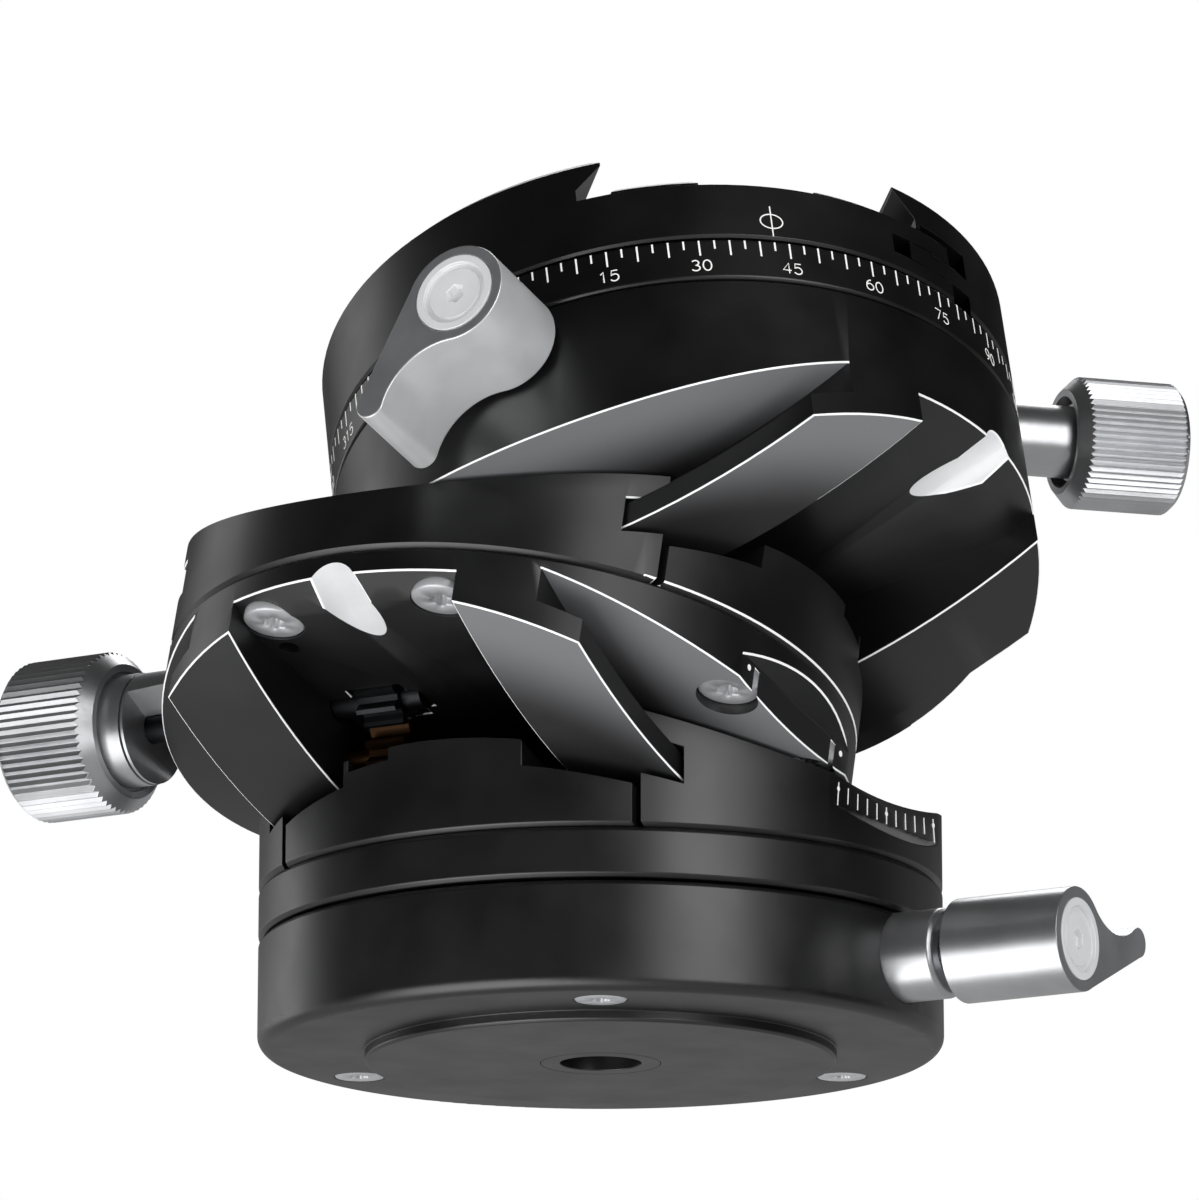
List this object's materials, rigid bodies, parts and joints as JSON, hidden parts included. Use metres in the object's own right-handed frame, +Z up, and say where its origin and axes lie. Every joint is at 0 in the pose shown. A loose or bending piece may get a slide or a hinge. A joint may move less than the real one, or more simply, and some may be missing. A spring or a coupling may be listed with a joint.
{
  "type": "geared tripod head",
  "caption": "Round geared tripod head: panning base, crossed arc-rail tilt stages driven by knurled knobs, lock levers and a panning dovetail clamp with a degree ring.",
  "frame": {"origin": "centre of the flat pad face on the base axis, at the mouth of the tripod socket", "axes": "+Z up along the base axis, +X along the lower tilt axis towards the tilt scale, +Y along the lower slide"},
  "size_m": [0.1202, 0.1095, 0.0941],
  "materials": {
    "black_anodised_aluminium": "satin black anodised",
    "steel": "turned",
    "bare_aluminium": "turned, bright",
    "silver_lever_aluminium": "satin, clear anodised",
    "bronze": "machined"
  },
  "bodies": {
    "base": {"base_housing": "black_anodised_aluminium", "socket_bush": "steel", "base_screws": "steel", "pan_retainer": "steel", "base_lock_boss": "bare_aluminium", "base_brake_shoe": "bronze"},
    "base_lever": {"base_lock_stud": "steel", "base_lock_lever": "silver_lever_aluminium", "base_lever_cap": "bare_aluminium"},
    "pan": {"pan_deck": "black_anodised_aluminium", "pan_spindle": "steel", "deck_screws": "steel", "lower_track": "black_anodised_aluminium", "lower_rail_front": "black_anodised_aluminium", "lower_rail_back": "black_anodised_aluminium", "lower_rack": "bronze"},
    "middle": {"lower_carriage": "black_anodised_aluminium", "lower_bush": "bronze", "lower_idler_pin": "steel", "carriage_screws": "steel", "upper_track": "black_anodised_aluminium", "upper_rail_front": "black_anodised_aluminium", "upper_rail_back": "black_anodised_aluminium", "upper_rack": "bronze"},
    "lower_drive": {"lower_shaft": "steel", "lower_knob": "bare_aluminium", "lower_set_screw": "steel"},
    "head": {"upper_carriage": "black_anodised_aluminium", "upper_bush": "bronze", "upper_idler_pin": "steel", "head_retainer": "steel", "head_screws": "steel", "head_brake_shoe": "bronze", "degree_ring": "black_anodised_aluminium"},
    "upper_drive": {"upper_shaft": "steel", "upper_knob": "bare_aluminium", "upper_set_screw": "steel"},
    "lower_idler": {"lower_idler": "bronze"},
    "upper_idler": {"upper_idler": "bronze"},
    "head_lever": {"head_lock_stud": "steel", "head_lock_lever": "silver_lever_aluminium", "head_lever_cap": "bare_aluminium"},
    "clamp": {"clamp_body": "black_anodised_aluminium", "head_spindle": "steel", "clamp_bolts": "steel", "guide_pins": "steel"},
    "jaw": {"moving_jaw": "black_anodised_aluminium"},
    "clamp_drive": {"clamp_screw": "steel", "clamp_knob": "bare_aluminium"}
  },
  "joints": [
    {"name": "base_pan", "type": "hinge", "parent": "base", "child": "pan", "pos_m": [0, 0, 0.0138], "axis": [0, 0, 1], "continuous": true},
    {"name": "base_lock", "type": "hinge", "parent": "base", "child": "base_lever", "pos_m": [0, 0, 0.0087], "axis": [1, 0, 0], "range_deg": [0, 80]},
    {"name": "lower_tilt", "type": "hinge", "parent": "pan", "child": "middle", "pos_m": [0, 0, 0.1149], "axis": [1, 0, 0], "range_deg": [0, 30]},
    {"name": "lower_knob_turn", "type": "hinge", "parent": "middle", "child": "lower_drive", "pos_m": [0, -0.03453, 0.03781], "axis": [1, 0, 0], "range_deg": [-1, 881]},
    {"name": "lower_idler_turn", "type": "hinge", "parent": "middle", "child": "lower_idler", "pos_m": [0, -0.03164, 0.03182], "axis": [1, 0, 0], "range_deg": [-793, 1]},
    {"name": "upper_tilt", "type": "hinge", "parent": "middle", "child": "head", "pos_m": [0, 0.00406, 0.13006], "axis": [0, 0.9659, -0.2588], "range_deg": [0, 30]},
    {"name": "upper_knob_turn", "type": "hinge", "parent": "head", "child": "upper_drive", "pos_m": [0.00864, -0.01768, 0.0489], "axis": [0, 0.9659, -0.2588], "range_deg": [-1, 881]},
    {"name": "upper_idler_turn", "type": "hinge", "parent": "head", "child": "upper_idler", "pos_m": [0.01414, -0.01865, 0.04529], "axis": [0, 0.9659, -0.2588], "range_deg": [-793, 1]},
    {"name": "head_lock", "type": "hinge", "parent": "head", "child": "head_lever", "pos_m": [0.01928, -0.0532, 0.07091], "axis": [0, -0.9659, 0.2588], "range_deg": [-60, 0]},
    {"name": "head_pan", "type": "hinge", "parent": "head", "child": "clamp", "pos_m": [0.01677, -0.01214, 0.06961], "axis": [-0.2588, 0.25, 0.933], "continuous": true},
    {"name": "jaw_slide", "type": "slide", "parent": "clamp", "child": "jaw", "axis": [0.6948, 0.7192, 0], "range_m": [-0.002, 0.002]},
    {"name": "clamp_knob_turn", "type": "hinge", "parent": "jaw", "child": "clamp_drive", "pos_m": [0.0156, -0.011, 0.07383], "axis": [0.6948, 0.7192, 0], "range_deg": [-901, 901]}
  ],
  "couplings": [
    {"joint": "lower_idler_turn", "follows": "lower_tilt", "ratio": -26.4},
    {"joint": "upper_idler_turn", "follows": "upper_tilt", "ratio": -26.4},
    {"joint": "lower_knob_turn", "follows": "lower_tilt", "ratio": 29.333},
    {"joint": "upper_knob_turn", "follows": "upper_tilt", "ratio": 29.333},
    {"joint": "clamp_knob_turn", "follows": "jaw_slide", "rad_per_m": 7854}
  ]
}
